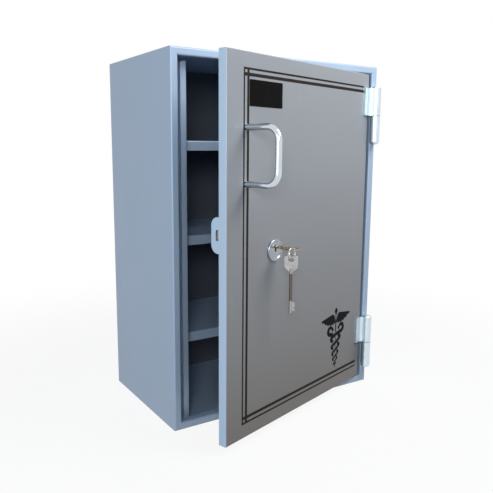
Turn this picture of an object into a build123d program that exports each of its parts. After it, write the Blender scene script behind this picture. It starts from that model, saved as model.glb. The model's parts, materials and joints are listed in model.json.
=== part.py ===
from build123d import *
from math import cos, pi, radians, sin
import os

# A steel medicine cabinet for a wall, with a lockable door that stands ajar. The origin is the
# middle of its base, the door faces -Y and +Z is up. Every length is in millimetres.

# Carcass, four folded panels mitred into a box with a narrow front frame
cabinet_width = 416
cabinet_depth = 251
cabinet_height = 600
carcass_sheet = 2.0
fold_radius = 2.5
frame_width = 12.5
jamb_depth = 15
wall_hole_diameter = 9
wall_holes_width = 300
wall_holes_height = 440

# Shelves, trays turned upside down
shelf_sheet = 1.5
shelf_flange = 15.8
shelf_set_back = 55
shelf_fold_radius = 2.2
upper_shelf_below_top = 135.5
middle_shelf_top = 309
lower_shelf_top = 142.5

# Bolt pocket, the folded strip behind the free edge of the door
pocket_sheet = 1.5
pocket_web_inset = 38.5
pocket_lip = 10.5
pocket_fold_radius = 2.0
pocket_top_gap = 16
pocket_top_radius = 5

# Door, a folded pan with an inner cover
door_angle = 17
door_sheet = 2.0
door_thickness = 14.5
door_recess = 3.2
door_edge_radius = 1.6
door_gap_free = 3.2
door_gap_hinge = 3.0
door_gap_level = 1.5
door_lip = 16
cover_sheet = 1.2
cover_inset = 8
cover_corner_radius = 6
cover_key_hole_diameter = 23
cover_screw_from_end = 70
cover_screw_from_bolt = 72

# Lug on the free edge, with the slot that the bolt passes
lug_height = 52.5
lug_reach = 14.5
lug_corner_radius = 12
lug_slot_height = 16.5
lug_slot_width = 5.6
lug_stop_gap = 0.3

# Weld-on bullet hinges
hinge_inset = 9
hinge_gap = 0.5
barrel_radius = 8.5
hinge_half_length = 51
hinge_washer_thickness = 0.8
hinge_lift = 0.1
upper_hinge_from_top = 87.5
lower_hinge_from_base = 84
hinge_pin_diameter = 8
hinge_pin_reach = 32
hinge_pin_depth = 30
hinge_bore_relief = 1
hinge_pin_bevel = 1
hinge_nose_radius = 6
hinge_cap_radius = 2
leaf_width = 24
leaf_thickness = 3.7
weld_foot_width = 8
weld_radius = 5.5
weld_throat = 13.5
web_width = 4.2
web_gap = 0.6
washer_diameter = 15

# Pull handle, a bent round bar
handle_diameter = 9.5
handle_inset = 41.3
handle_below_top = 157.5
handle_width = 80
handle_reach = 58
handle_bend_radius = 19
handle_hole_depth = 12
handle_screw_reach = 11
handle_washer_diameter = 11
handle_washer_thickness = 1.0

# Lock, with the key turned so that the bolt is drawn back. The rose sits a little below the key.
key_inset = 110.3
key_height = 304
rose_below_key = 5.3
rose_diameter = 35
rose_proud = 3.5
rose_neck_diameter = 20
rose_lip = 1.6
rose_rim_width = 3.6
rose_dish = 0.9
keyhole_width = 3.4
keyhole_play = 0.6
keyhole_round_diameter = 6.4
case_width = 60
case_height = 76
case_depth = 30.1
case_sheet = 1.5
case_below_key = 26
case_left_of_key = 30
case_ear = 10
case_corner_radius = 4
case_edge_radius = 2
barrel_diameter = 21
barrel_gap = 0.8
barrel_length = 19
barrel_end_gap = 0.3
boss_wall = 3
journal_diameter = 10
journal_proud = 0.6
drive_pin_diameter = 3
drive_pin_radius = 8
drive_pin_start = 45
drive_pin_short = 0.2
bolt_thickness = 4
bolt_height = 14
bolt_above_key = 27
bolt_cover_gap = 0.3
bolt_back_gap = 0.8
bolt_recess = 1.5
bolt_tail_left = 16
bolt_tail_right = 9.3
bolt_tail_clearance = 3.2
bolt_tip_radius = 2
fork_play = 0.4
fork_top_play = 1.0
guide_offset = 41.3
guide_width = 14
guide_sheet = 1.5
guide_foot = 10
guide_play = 0.4
guide_fold_radius = 0.5

# Keys
key_length = 88
key_shank_diameter = 4.8
key_tip_gap = 3.5
bit_length = 14
bit_height = 7.2
bit_thickness = 2.4
bit_back = 3.5
bit_notch_width = 1.55
bit_notch_depths = (1.3, 2.6, 0.8, 1.9)
bit_fit = 0.25
bow_length = 24.5
bow_width = 21
bow_thickness = 2.0
bow_corner_radius = 4
bow_shoulder = 6.5
bow_neck_width = 6
bow_edge = 0.3
shank_in_bow = 5
bow_hole_width = 9
bow_hole_length = 5
bow_hole_inset = 6
collar_diameter = 7
collar_length = 2.2

# Split ring with the spare key
ring_radius = 8.2
ring_wire = 1.4
ring_wire_bevel = 0.4
ring_turns = 2
ring_gap = 0.5
ring_open_angle = 225
ring_hang_gap = 0.45
spare_twist = 28

# Screws and fits
cover_screw_diameter = 3.5
case_screw_diameter = 4
handle_screw_diameter = 5
screw_hole_play = 0.3
screw_bite = 3
screw_head_share = 1.9
screw_head_rise = 0.55
screw_head_bevel = 0.2
pin_fit = 0.02
running_fit = 0.08

# Planes and places that follow from the sizes
half_width = cabinet_width / 2
opening_half = half_width - frame_width
front = -cabinet_depth / 2
back = cabinet_depth / 2
theta = radians(door_angle)
hinge_stand_off = barrel_radius + hinge_gap
hinge_x = half_width - hinge_inset
hinge_y = front - hinge_stand_off
door_plane = Plane(
    origin=(hinge_x, hinge_y, 0),
    x_dir=(cos(theta), sin(theta), 0),
    z_dir=(sin(theta), -cos(theta), 0),
)
outward = Axis((0, 0, 0), tuple(door_plane.z_dir))
door_left = door_gap_free - hinge_x - opening_half
door_right = opening_half - door_gap_hinge - hinge_x
door_bottom = frame_width + door_gap_level
door_top = cabinet_height - door_bottom
door_width = door_right - door_left
door_height = door_top - door_bottom
door_middle_x = (door_left + door_right) / 2
door_middle_y = (door_bottom + door_top) / 2
door_face = -hinge_stand_off - door_recess
door_rear = door_face - door_thickness
cover_rear = door_rear - cover_sheet
key_x = door_left + key_inset
rose_y = key_height - rose_below_key
bolt_y = key_height + bolt_above_key
bolt_front = cover_rear - bolt_cover_gap
bolt_rear = bolt_front - bolt_thickness
case_rear = cover_rear - case_depth
barrel_front = bolt_rear - barrel_gap
barrel_back = barrel_front - barrel_length
key_tip = barrel_back - key_tip_gap
handle_x = door_left + handle_inset
handle_y = cabinet_height - handle_below_top
guide_x = door_left + guide_offset
bolt_stroke = 2 * drive_pin_radius * cos(radians(drive_pin_start))


def door_at(x, y, z, facing=1):
    """A plane parallel to the open door, x from the hinge axis, y up and z outwards. Facing -1
    turns its normal into the cabinet."""
    return Plane(
        origin=door_plane.from_local_coords((x, y, z)),
        x_dir=door_plane.x_dir,
        z_dir=facing * door_plane.z_dir,
    )


def finish(piece, name):
    """Names a finished piece and writes it."""
    piece.part.label = name
    export_step(piece.part, f"parts/{name}.step")


def screws(planes, diameter, length):
    """Screws, each with its bevelled head standing on a plane and its shank behind it."""
    with BuildPart() as group:
        with BuildSketch(*planes):
            Circle(diameter * screw_head_share / 2)
        heads = extrude(amount=diameter * screw_head_rise)
        direction = Axis((0, 0, 0), tuple(planes[0].z_dir))
        tops = [head.faces().sort_by(direction)[-1].edges()[0] for head in heads.solids()]
        chamfer(tops, length=diameter * screw_head_bevel)
        with BuildSketch(*planes):
            Circle(diameter / 2)
        extrude(amount=-length)
    return group


os.makedirs("parts", exist_ok=True)

# Side, top and bottom panels: one folded section each, a wall with the front frame and its
# return, cut at 45 degrees where it is welded to its neighbours.
panels = {
    "left_side": (Plane((-half_width, 0, 0), x_dir=(1, 0, 0), z_dir=(0, 0, 1)), cabinet_height),
    "right_side": (
        Plane((half_width, 0, cabinet_height), x_dir=(-1, 0, 0), z_dir=(0, 0, -1)),
        cabinet_height,
    ),
    "top_panel": (
        Plane((-half_width, 0, cabinet_height), x_dir=(0, 0, -1), z_dir=(1, 0, 0)),
        cabinet_width,
    ),
    "bottom_panel": (Plane((half_width, 0, 0), x_dir=(0, 0, 1), z_dir=(-1, 0, 0)), cabinet_width),
}
for name, (panel_plane, panel_length) in panels.items():
    with BuildPart() as panel:
        with BuildSketch(panel_plane):
            with BuildLine():
                FilletPolyline(
                    (0, back),
                    (0, front),
                    (frame_width, front),
                    (frame_width, front + jamb_depth),
                    radius=fold_radius,
                )
                offset(amount=carcass_sheet, side=Side.LEFT)
            make_face()
        extrude(amount=panel_length)
        along = panel_plane.z_dir
        inward = panel_plane.x_dir
        far_corner = panel_plane.origin + along * panel_length
        split(bisect_by=Plane(panel_plane.origin, z_dir=along - inward), keep=Keep.TOP)
        split(bisect_by=Plane(far_corner, z_dir=along + inward), keep=Keep.BOTTOM)
    finish(panel, name)

# Back panel, let in between the walls, with four holes for wall bolts
with BuildPart() as back_panel:
    with BuildSketch(Plane((0, back, cabinet_height / 2), x_dir=(1, 0, 0), z_dir=(0, -1, 0))):
        Rectangle(cabinet_width - 2 * carcass_sheet, cabinet_height - 2 * carcass_sheet)
        with GridLocations(wall_holes_width, wall_holes_height, 2, 2):
            Circle(wall_hole_diameter / 2, mode=Mode.SUBTRACT)
    extrude(amount=carcass_sheet)
finish(back_panel, "back_panel")

# Bolt pocket: a lip that the bolt passes in front of, a web, and a rear flange welded to the
# side wall, on which the lug of the closed door stops
pocket_lip_y = hinge_y - bolt_rear + bolt_back_gap
pocket_back_y = hinge_y - door_rear + lug_reach + lug_stop_gap + pocket_sheet
pocket_web_x = pocket_web_inset - half_width
with BuildPart() as bolt_pocket:
    with BuildSketch(Plane.XY.offset(carcass_sheet)):
        with BuildLine():
            FilletPolyline(
                (pocket_web_x - pocket_lip, pocket_lip_y),
                (pocket_web_x, pocket_lip_y),
                (pocket_web_x, pocket_back_y),
                (carcass_sheet - half_width, pocket_back_y),
                radius=pocket_fold_radius,
            )
            offset(amount=pocket_sheet, side=Side.LEFT)
        make_face()
    extrude(amount=cabinet_height - carcass_sheet - pocket_top_gap)
    lip_corners = bolt_pocket.faces().sort_by(Axis.Z)[-1].edges().filter_by(Axis.Y)
    fillet(lip_corners.sort_by(Axis.Y)[0], radius=pocket_top_radius)
finish(bolt_pocket, "bolt_pocket")

# Shelves, open underneath, welded between the side walls and against the back
shelf_depth = cabinet_depth - shelf_set_back - carcass_sheet
shelf_middle_y = front + shelf_set_back + shelf_depth / 2
shelves = {
    "upper_shelf": cabinet_height - upper_shelf_below_top,
    "middle_shelf": middle_shelf_top,
    "lower_shelf": lower_shelf_top,
}
for name, shelf_top in shelves.items():
    with BuildPart() as shelf:
        with BuildSketch(Plane((0, shelf_middle_y, shelf_top - shelf_flange))):
            Rectangle(cabinet_width - 2 * carcass_sheet, shelf_depth)
        extrude(amount=shelf_flange)
        fillet(shelf.faces().sort_by(Axis.Z)[-1].edges(), radius=shelf_fold_radius)
        offset(amount=-shelf_sheet, openings=shelf.faces().sort_by(Axis.Z)[0])
    finish(shelf, name)

# Door pan: front sheet with folded edges and return lips, and the lug on its free edge
sheet_inside = 2 * door_sheet
cover_screw_line = (cover_inset + door_lip) / 2
screw_planes = []
for side_x in (door_left + cover_screw_line, door_right - cover_screw_line):
    for screw_y in (
        door_bottom + cover_screw_from_end,
        bolt_y - cover_screw_from_bolt,
        bolt_y + cover_screw_from_bolt,
        door_top - cover_screw_from_end,
    ):
        screw_planes.append(door_at(side_x, screw_y, cover_rear, facing=-1))
with BuildPart() as door_pan:
    with BuildSketch(door_at(door_middle_x, door_middle_y, door_rear)):
        Rectangle(door_width, door_height)
    extrude(amount=door_thickness)
    fillet(door_pan.faces().sort_by(outward)[-1].edges(), radius=door_edge_radius)
    with BuildSketch(door_at(door_middle_x, door_middle_y, door_rear + door_sheet)):
        Rectangle(door_width - sheet_inside, door_height - sheet_inside)
    extrude(amount=door_thickness - sheet_inside, mode=Mode.SUBTRACT)
    with BuildSketch(door_at(door_middle_x, door_middle_y, door_rear)):
        RectangleRounded(door_width - 2 * door_lip, door_height - 2 * door_lip, cover_corner_radius)
    extrude(amount=door_sheet, mode=Mode.SUBTRACT)
    with BuildSketch(
        Plane(
            origin=door_plane.from_local_coords((door_left, bolt_y, door_rear)),
            x_dir=-door_plane.z_dir,
            z_dir=door_plane.x_dir,
        )
    ) as lug:
        Rectangle(lug_reach, lug_height, align=(Align.MIN, Align.CENTER))
        fillet(lug.vertices().group_by(Axis.X)[-1], radius=lug_corner_radius)
        with Locations((door_rear - (bolt_front + bolt_rear) / 2, 0)):
            SlotOverall(lug_slot_height, lug_slot_width, rotation=90, mode=Mode.SUBTRACT)
    extrude(amount=door_sheet)
    with BuildSketch(door_at(key_x, rose_y, door_face)):
        Circle((rose_neck_diameter + screw_hole_play) / 2)
    extrude(amount=-door_sheet, mode=Mode.SUBTRACT)
    with BuildSketch(door_at(handle_x, handle_y, door_face)):
        with GridLocations(0, handle_width, 1, 2):
            Circle((handle_screw_diameter + screw_hole_play) / 2)
    extrude(amount=-door_sheet, mode=Mode.SUBTRACT)
    with BuildSketch(*screw_planes):
        Circle((cover_screw_diameter + screw_hole_play) / 2)
    extrude(amount=-cover_sheet - door_sheet, mode=Mode.SUBTRACT)
finish(door_pan, "door_pan")

# Inner cover of the door, which carries the lock, and its screws
case_x = key_x - case_left_of_key + case_width / 2
case_y = key_height - case_below_key + case_height / 2
ear_spacing_y = case_height + case_ear
ear_spacing_x = case_width - 2 * case_ear
case_screw_planes = [
    door_at(
        case_x + side * ear_spacing_x / 2,
        case_y + level * ear_spacing_y / 2,
        cover_rear - case_sheet,
        facing=-1,
    )
    for side in (-1, 1)
    for level in (-1, 1)
]
guide_opening = bolt_height + 2 * guide_play
guide_screw_planes = [
    door_at(
        guide_x,
        bolt_y + level * (guide_opening / 2 + guide_sheet + guide_foot / 2),
        cover_rear - guide_sheet,
        facing=-1,
    )
    for level in (-1, 1)
]
with BuildPart() as door_cover:
    with BuildSketch(door_at(door_middle_x, door_middle_y, cover_rear)):
        RectangleRounded(
            door_width - 2 * cover_inset, door_height - 2 * cover_inset, cover_corner_radius
        )
    extrude(amount=cover_sheet)
    with BuildSketch(door_at(key_x, key_height, cover_rear)):
        Circle(cover_key_hole_diameter / 2)
    extrude(amount=cover_sheet, mode=Mode.SUBTRACT)
    with BuildSketch(*screw_planes):
        Circle((cover_screw_diameter + screw_hole_play) / 2)
    extrude(amount=-cover_sheet, mode=Mode.SUBTRACT)
    with BuildSketch(*case_screw_planes, *guide_screw_planes):
        Circle((case_screw_diameter + screw_hole_play) / 2)
    extrude(amount=-cover_sheet - case_sheet, mode=Mode.SUBTRACT)
finish(door_cover, "door_cover")
cover_screws = screws(screw_planes, cover_screw_diameter, cover_sheet + door_sheet + screw_bite)
finish(cover_screws, "cover_screws")

# Bullet hinges. The frame half is a barrel with a rounded nose below and a weld foot that meets
# the stile. The pin stands in it, and a washer lies on its top.
splits = {"upper": cabinet_height - upper_hinge_from_top, "lower": lower_hinge_from_base}
half_gap = (hinge_washer_thickness + hinge_lift) / 2
bore_radius = hinge_pin_diameter / 2
leaf_front = -door_face - leaf_thickness
for place, split_height in splits.items():
    frame_top = split_height - half_gap
    foot_length = hinge_half_length - hinge_nose_radius
    with BuildPart() as frame_half:
        with BuildSketch(Plane((hinge_x, hinge_y, frame_top - hinge_half_length))):
            Circle(barrel_radius)
        extrude(amount=hinge_half_length)
        fillet(frame_half.faces().sort_by(Axis.Z)[0].edges(), radius=hinge_nose_radius)
        with BuildSketch(Plane((hinge_x, hinge_y, frame_top - foot_length))):
            Rectangle(weld_foot_width, hinge_stand_off, align=(Align.CENTER, Align.MIN))
        extrude(amount=foot_length)
        with BuildSketch(Plane((hinge_x, hinge_y, frame_top))):
            Circle(bore_radius + pin_fit)
        extrude(amount=-hinge_pin_depth, mode=Mode.SUBTRACT)
    finish(frame_half, f"{place}_hinge_frame_half")

    # The pin, with a bevelled tip that the door half is lowered over
    with BuildPart() as hinge_pin:
        with BuildSketch(Plane((hinge_x, hinge_y, frame_top - hinge_pin_depth))):
            Circle(bore_radius)
        extrude(amount=hinge_pin_depth + hinge_pin_reach)
        chamfer(hinge_pin.faces().sort_by(Axis.Z)[-1].edges(), length=hinge_pin_bevel)
    finish(hinge_pin, f"{place}_hinge_pin")

    # The door half: a barrel with a blind bore, and a leaf welded on the door's face, which a
    # web with a hollow throat joins to the barrel
    door_start = Plane(
        (hinge_x, hinge_y, split_height + half_gap), x_dir=door_plane.x_dir, z_dir=(0, 0, 1)
    )
    with BuildPart() as door_half:
        with BuildSketch(door_start):
            Circle(barrel_radius)
        extrude(amount=hinge_half_length)
        fillet(door_half.faces().sort_by(Axis.Z)[-1].edges(), radius=hinge_cap_radius)
        with BuildSketch(door_start):
            with BuildLine():
                Polyline(
                    (0, 0),
                    (0, hinge_stand_off - web_gap),
                    (-web_width, hinge_stand_off - web_gap),
                    (-web_width, -door_face),
                    (-leaf_width, -door_face),
                    (-leaf_width, leaf_front),
                    (-weld_throat, leaf_front),
                )
                throat = CenterArc((-weld_throat, leaf_front - weld_radius), weld_radius, 0, 90)
                Line(throat @ 0, (0, 0))
            make_face()
        extrude(amount=hinge_half_length - hinge_cap_radius)
        with BuildSketch(door_start):
            Circle(bore_radius + running_fit)
        extrude(amount=hinge_pin_reach + hinge_lift + hinge_bore_relief, mode=Mode.SUBTRACT)
    finish(door_half, f"{place}_hinge_door_half")

with BuildPart() as hinge_washers:
    for split_height in splits.values():
        with BuildSketch(Plane((hinge_x, hinge_y, split_height - half_gap))):
            Circle(washer_diameter / 2)
            Circle(bore_radius + running_fit, mode=Mode.SUBTRACT)
        extrude(amount=hinge_washer_thickness)
finish(hinge_washers, "hinge_washers")

# Pull handle, bent from one round bar, with a tapped hole in the end of each leg
with BuildPart() as handle:
    handle_plane = Plane(
        origin=door_plane.from_local_coords((handle_x, handle_y, door_face)),
        x_dir=(0, 0, 1),
        z_dir=door_plane.x_dir,
    )
    with BuildLine(handle_plane) as handle_path:
        FilletPolyline(
            (-handle_width / 2, 0),
            (-handle_width / 2, handle_reach),
            (handle_width / 2, handle_reach),
            (handle_width / 2, 0),
            radius=handle_bend_radius,
        )
    with BuildSketch(handle_path.line ^ 0):
        Circle(handle_diameter / 2)
    sweep()
    with BuildSketch(door_at(handle_x, handle_y, door_face)):
        with GridLocations(0, handle_width, 1, 2):
            Circle(handle_screw_diameter / 2 + pin_fit)
    extrude(amount=handle_hole_depth, mode=Mode.SUBTRACT)
finish(handle, "handle")

handle_back = door_face - door_sheet
with BuildPart() as handle_washers:
    with BuildSketch(door_at(handle_x, handle_y, handle_back, facing=-1)):
        with GridLocations(0, handle_width, 1, 2):
            Circle(handle_washer_diameter / 2)
            Circle((handle_screw_diameter + screw_hole_play) / 2, mode=Mode.SUBTRACT)
    extrude(amount=handle_washer_thickness)
finish(handle_washers, "handle_washers")

handle_screws = screws(
    [
        door_at(handle_x, leg_height, handle_back - handle_washer_thickness, facing=-1)
        for leg_height in (handle_y - handle_width / 2, handle_y + handle_width / 2)
    ],
    handle_screw_diameter,
    handle_washer_thickness + door_sheet + handle_screw_reach,
)
finish(handle_screws, "handle_screws")

# Lock rose: a turned disc with a raised rim, its neck swaged behind the door's sheet, and a
# keyhole whose slot hangs below the key
rose_radius = rose_diameter / 2
neck_radius = rose_neck_diameter / 2
rose_floor = rose_proud - rose_dish
with BuildPart() as lock_rose:
    with BuildSketch(
        Plane(
            origin=door_plane.from_local_coords((key_x, rose_y, door_face)),
            x_dir=door_plane.x_dir,
            z_dir=(0, 0, -1),
        )
    ):
        with BuildLine():
            Polyline(
                (rose_radius, rose_proud - rose_rim_width / 2),
                (rose_radius, 0),
                (neck_radius, 0),
                (neck_radius, -door_sheet),
                (neck_radius + rose_lip, -door_sheet),
                (neck_radius, -door_sheet - rose_lip),
                (0, -door_sheet - rose_lip),
                (0, rose_floor),
                (rose_radius - rose_rim_width - rose_dish, rose_floor),
                (rose_radius - rose_rim_width, rose_proud),
                (rose_radius - rose_rim_width / 2, rose_proud),
            )
            CenterArc(
                (rose_radius - rose_rim_width / 2, rose_proud - rose_rim_width / 2),
                rose_rim_width / 2,
                0,
                90,
            )
        make_face()
    revolve(
        axis=Axis(
            tuple(door_plane.from_local_coords((key_x, rose_y, 0))), tuple(door_plane.z_dir)
        )
    )
    with BuildSketch(door_at(key_x, key_height, door_face + rose_proud)):
        Circle(keyhole_round_diameter / 2)
        Rectangle(
            keyhole_width, bit_height + keyhole_play, align=(Align.CENTER, Align.MAX)
        )
    extrude(amount=-rose_proud - door_sheet - rose_lip, mode=Mode.SUBTRACT)
finish(lock_rose, "lock_rose")

# Lock case: a pressed box screwed on the cover, with a boss for the barrel's journal and a
# window that the bolt leaves by
with BuildPart() as lock_case:
    with BuildSketch(door_at(case_x, case_y, case_rear)):
        RectangleRounded(case_width, case_height, case_corner_radius)
    extrude(amount=case_depth)
    fillet(lock_case.faces().sort_by(outward)[0].edges(), radius=case_edge_radius)
    offset(amount=-case_sheet, openings=lock_case.faces().sort_by(outward)[-1])
    with BuildSketch(door_at(case_x, case_y, cover_rear, facing=-1)):
        RectangleRounded(case_width, case_height + 2 * case_ear, case_corner_radius)
        RectangleRounded(
            case_width - 2 * case_sheet,
            case_height - 2 * case_sheet,
            case_corner_radius - case_sheet,
            mode=Mode.SUBTRACT,
        )
    extrude(amount=case_sheet)
    boss_front = barrel_back - barrel_end_gap
    with BuildSketch(door_at(key_x, key_height, boss_front, facing=-1)):
        Circle(journal_diameter / 2 + boss_wall)
    extrude(amount=boss_front - case_rear - case_sheet / 2)
    with BuildSketch(door_at(key_x, key_height, boss_front, facing=-1)):
        Circle(journal_diameter / 2 + running_fit)
    extrude(amount=boss_front - case_rear, mode=Mode.SUBTRACT)
    with BuildSketch(door_at(case_x - case_width / 2, bolt_y, cover_rear, facing=-1)):
        Rectangle(2 * case_corner_radius, guide_opening)
    extrude(amount=cover_rear - bolt_rear + guide_play, mode=Mode.SUBTRACT)
    with BuildSketch(*case_screw_planes):
        Circle((case_screw_diameter + screw_hole_play) / 2)
    extrude(amount=-case_sheet, mode=Mode.SUBTRACT)
finish(lock_case, "lock_case")
case_screws = screws(case_screw_planes, case_screw_diameter, case_sheet + cover_sheet + screw_bite)
finish(case_screws, "lock_case_screws")

# Bolt guide: a bridge of folded strip over the bolt
guide_height = cover_rear - bolt_rear + guide_play
guide_half = guide_opening / 2
guide_end = guide_half + guide_sheet + guide_foot
with BuildPart() as bolt_guide:
    with BuildSketch(
        Plane(
            origin=door_plane.from_local_coords((guide_x - guide_width / 2, bolt_y, cover_rear)),
            x_dir=(0, 0, -1),
            z_dir=door_plane.x_dir,
        )
    ):
        with BuildLine():
            FilletPolyline(
                (-guide_end, 0),
                (-guide_half, 0),
                (-guide_half, guide_height),
                (guide_half, guide_height),
                (guide_half, 0),
                (guide_end, 0),
                radius=[
                    guide_sheet + guide_fold_radius,
                    guide_fold_radius,
                    guide_fold_radius,
                    guide_sheet + guide_fold_radius,
                ],
            )
            offset(amount=guide_sheet, side=Side.LEFT)
        make_face()
    extrude(amount=guide_width)
    with BuildSketch(*guide_screw_planes):
        Circle((case_screw_diameter + screw_hole_play) / 2)
    extrude(amount=-guide_sheet, mode=Mode.SUBTRACT)
finish(bolt_guide, "bolt_guide")
guide_screws = screws(
    guide_screw_planes, case_screw_diameter, guide_sheet + cover_sheet + screw_bite
)
finish(guide_screws, "bolt_guide_screws")

# Bolt: a flat bar with a tail plate above the key, forked for the barrel's pin
bolt_left = door_left + bolt_recess
tail_left = key_x - bolt_tail_left
tail_right = key_x + bolt_tail_right
tail_bottom = key_height + bolt_tail_clearance
bolt_top = bolt_y + bolt_height / 2
pin_reach = drive_pin_radius * cos(radians(drive_pin_start))
fork_half = drive_pin_diameter / 2 + fork_play
fork_end = drive_pin_radius + drive_pin_diameter / 2 + fork_top_play
with BuildPart() as lock_bolt:
    with BuildSketch(door_at(key_x, key_height, bolt_rear)) as bolt_outline:
        with Locations((bolt_left - key_x, bolt_above_key)):
            Rectangle(tail_right - bolt_left, bolt_height, align=(Align.MIN, Align.CENTER))
        fillet(bolt_outline.vertices().group_by(Axis.X)[0], radius=bolt_tip_radius)
        with Locations((tail_left - key_x, bolt_tail_clearance)):
            Rectangle(
                tail_right - tail_left, bolt_top - tail_bottom, align=(Align.MIN, Align.MIN)
            )
        with Locations((pin_reach - fork_half, 0)):
            Rectangle(
                2 * fork_half, fork_end - fork_half, align=(Align.MIN, Align.MIN), mode=Mode.SUBTRACT
            )
        with Locations((pin_reach, fork_end - fork_half)):
            Circle(fork_half, mode=Mode.SUBTRACT)
    extrude(amount=bolt_thickness)
finish(lock_bolt, "lock_bolt")

# Key barrel: turns in the case's boss, is slotted for the key's bits, and carries the drive pin
with BuildPart() as key_barrel:
    with BuildSketch(door_at(key_x, key_height, barrel_back)):
        Circle(barrel_diameter / 2)
    extrude(amount=barrel_length)
    with BuildSketch(door_at(key_x, key_height, barrel_back, facing=-1)):
        Circle(journal_diameter / 2)
    extrude(amount=barrel_back - case_rear + journal_proud)
    with BuildSketch(door_at(key_x, key_height, barrel_front)):
        with Locations((pin_reach, drive_pin_radius * sin(radians(drive_pin_start)))):
            Circle(drive_pin_diameter / 2)
    extrude(amount=barrel_gap + bolt_thickness - drive_pin_short)
    with BuildSketch(door_at(key_x, key_height, barrel_front, facing=-1)):
        Rectangle(
            bit_height + bit_fit, bit_thickness + 2 * bit_fit, align=(Align.MAX, Align.CENTER)
        )
    extrude(amount=barrel_length, mode=Mode.SUBTRACT)
    with BuildSketch(door_at(key_x, key_height, barrel_front, facing=-1)):
        Circle(key_shank_diameter / 2 + bit_fit)
    extrude(amount=barrel_front - key_tip + bit_fit, mode=Mode.SUBTRACT)
finish(key_barrel, "key_barrel")


def key_blank(plane):
    """A key with a notched bit: the tip at the plane's origin, the shank along its y, and the flat
    of the bow and the bit in the plane."""
    neck = key_length - bow_length
    shank_plane = Plane(plane.origin, x_dir=plane.x_dir, z_dir=plane.y_dir)
    with BuildPart() as key:
        with BuildSketch(plane.offset(-bow_thickness / 2)):
            with BuildLine():
                Polyline(
                    (-bow_neck_width / 2, neck),
                    (bow_neck_width / 2, neck),
                    (bow_width / 2, neck + bow_shoulder),
                    (bow_width / 2, key_length),
                    (-bow_width / 2, key_length),
                    (-bow_width / 2, neck + bow_shoulder),
                    close=True,
                )
            outline = make_face()
            fillet(outline.vertices().group_by(Axis.Y)[-2:], radius=bow_corner_radius)
            with Locations((0, key_length - bow_hole_inset)):
                SlotOverall(bow_hole_width, bow_hole_length, mode=Mode.SUBTRACT)
        extrude(amount=bow_thickness)
        chamfer(key.faces().filter_by(Axis(plane.origin, plane.z_dir)).edges(), length=bow_edge)
        with BuildSketch(shank_plane):
            Circle(key_shank_diameter / 2)
        extrude(amount=neck + shank_in_bow)
        with BuildSketch(shank_plane.offset(neck - collar_length)):
            Circle(collar_diameter / 2)
        extrude(amount=collar_length)
        with BuildSketch(plane.offset(-bit_thickness / 2)):
            with Locations((0, bit_back)):
                Rectangle(bit_height, bit_length, align=(Align.MAX, Align.MIN))
            for step, depth in enumerate(bit_notch_depths):
                notch_y = bit_back + bit_length * (step + 1) / (len(bit_notch_depths) + 1)
                with Locations((-bit_height, notch_y)):
                    Rectangle(2 * depth, bit_notch_width, mode=Mode.SUBTRACT)
        extrude(amount=bit_thickness)
    return key


key_in_lock = key_blank(
    Plane(
        origin=door_plane.from_local_coords((key_x, key_height, key_tip)),
        x_dir=door_plane.x_dir,
        z_dir=(0, 0, -1),
    )
)
finish(key_in_lock, "key")

# Split ring: a coil that hangs on the bow, its ends away from both keys. Each quarter turn of
# the coil's line is drawn as two tangent arcs.
hole_height = key_tip + key_length - bow_hole_inset
strip_middle = (bow_width + bow_hole_width) / 4
ring_x = key_x - strip_middle
ring_inner = ring_radius - ring_wire / 2
strip_half = (bow_width - bow_hole_width) / 4
ring_y = key_height + bow_thickness / 2 + ring_hang_gap - (ring_inner**2 - strip_half**2) ** 0.5
ring_pitch = ring_wire + ring_gap
ring_quarters = 4 * ring_turns
ring_centre = door_at(ring_x, ring_y, hole_height)


def coil_point(quarters):
    """A point of the coil, so many quarter turns from its middle."""
    angle = radians(ring_open_angle) + quarters * pi / 2
    spot = (ring_radius * cos(angle), ring_radius * sin(angle), ring_pitch * quarters / 4)
    return ring_centre.from_local_coords(spot)


def coil_direction(quarters):
    """The coil's direction at that point."""
    angle = radians(ring_open_angle) + quarters * pi / 2
    rise = ring_pitch / (2 * pi)
    way = Vector(-ring_radius * sin(angle), ring_radius * cos(angle), rise).normalized()
    return (
        ring_centre.from_local_coords(tuple(way)) - ring_centre.origin
    ).normalized()


with BuildPart() as split_ring:
    with BuildLine() as coil:
        for quarter in range(ring_quarters):
            start = coil_point(quarter - ring_quarters / 2)
            end = coil_point(quarter + 1 - ring_quarters / 2)
            start_way = coil_direction(quarter - ring_quarters / 2)
            end_way = coil_direction(quarter + 1 - ring_quarters / 2)
            chord = end - start
            square = 2 * (1 - start_way.dot(end_way))
            linear = chord.dot(start_way + end_way)
            reach = (-linear + (linear**2 + square * chord.dot(chord)) ** 0.5) / square
            joint = (start + start_way * reach + end - end_way * reach) * 0.5
            first = TangentArc(start, joint, tangent=start_way)
            TangentArc(joint, end, tangent=first % 1)
    with BuildSketch(coil.line ^ 0) as wire:
        Rectangle(ring_wire, ring_wire)
        chamfer(wire.vertices(), length=ring_wire_bevel)
    sweep()
finish(split_ring, "split_ring")

sample_steps = 400
samples = [coil.line @ (step / sample_steps) for step in range(sample_steps + 1)]
half_turn_steps = sample_steps // ring_turns // 2
gaps = [
    (samples[a] - samples[b]).length - ring_wire
    for a in range(sample_steps + 1)
    for b in range(a + half_turn_steps, sample_steps + 1)
]
print("split ring: least gap to itself", round(min(gaps), 3), "mm")

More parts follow.
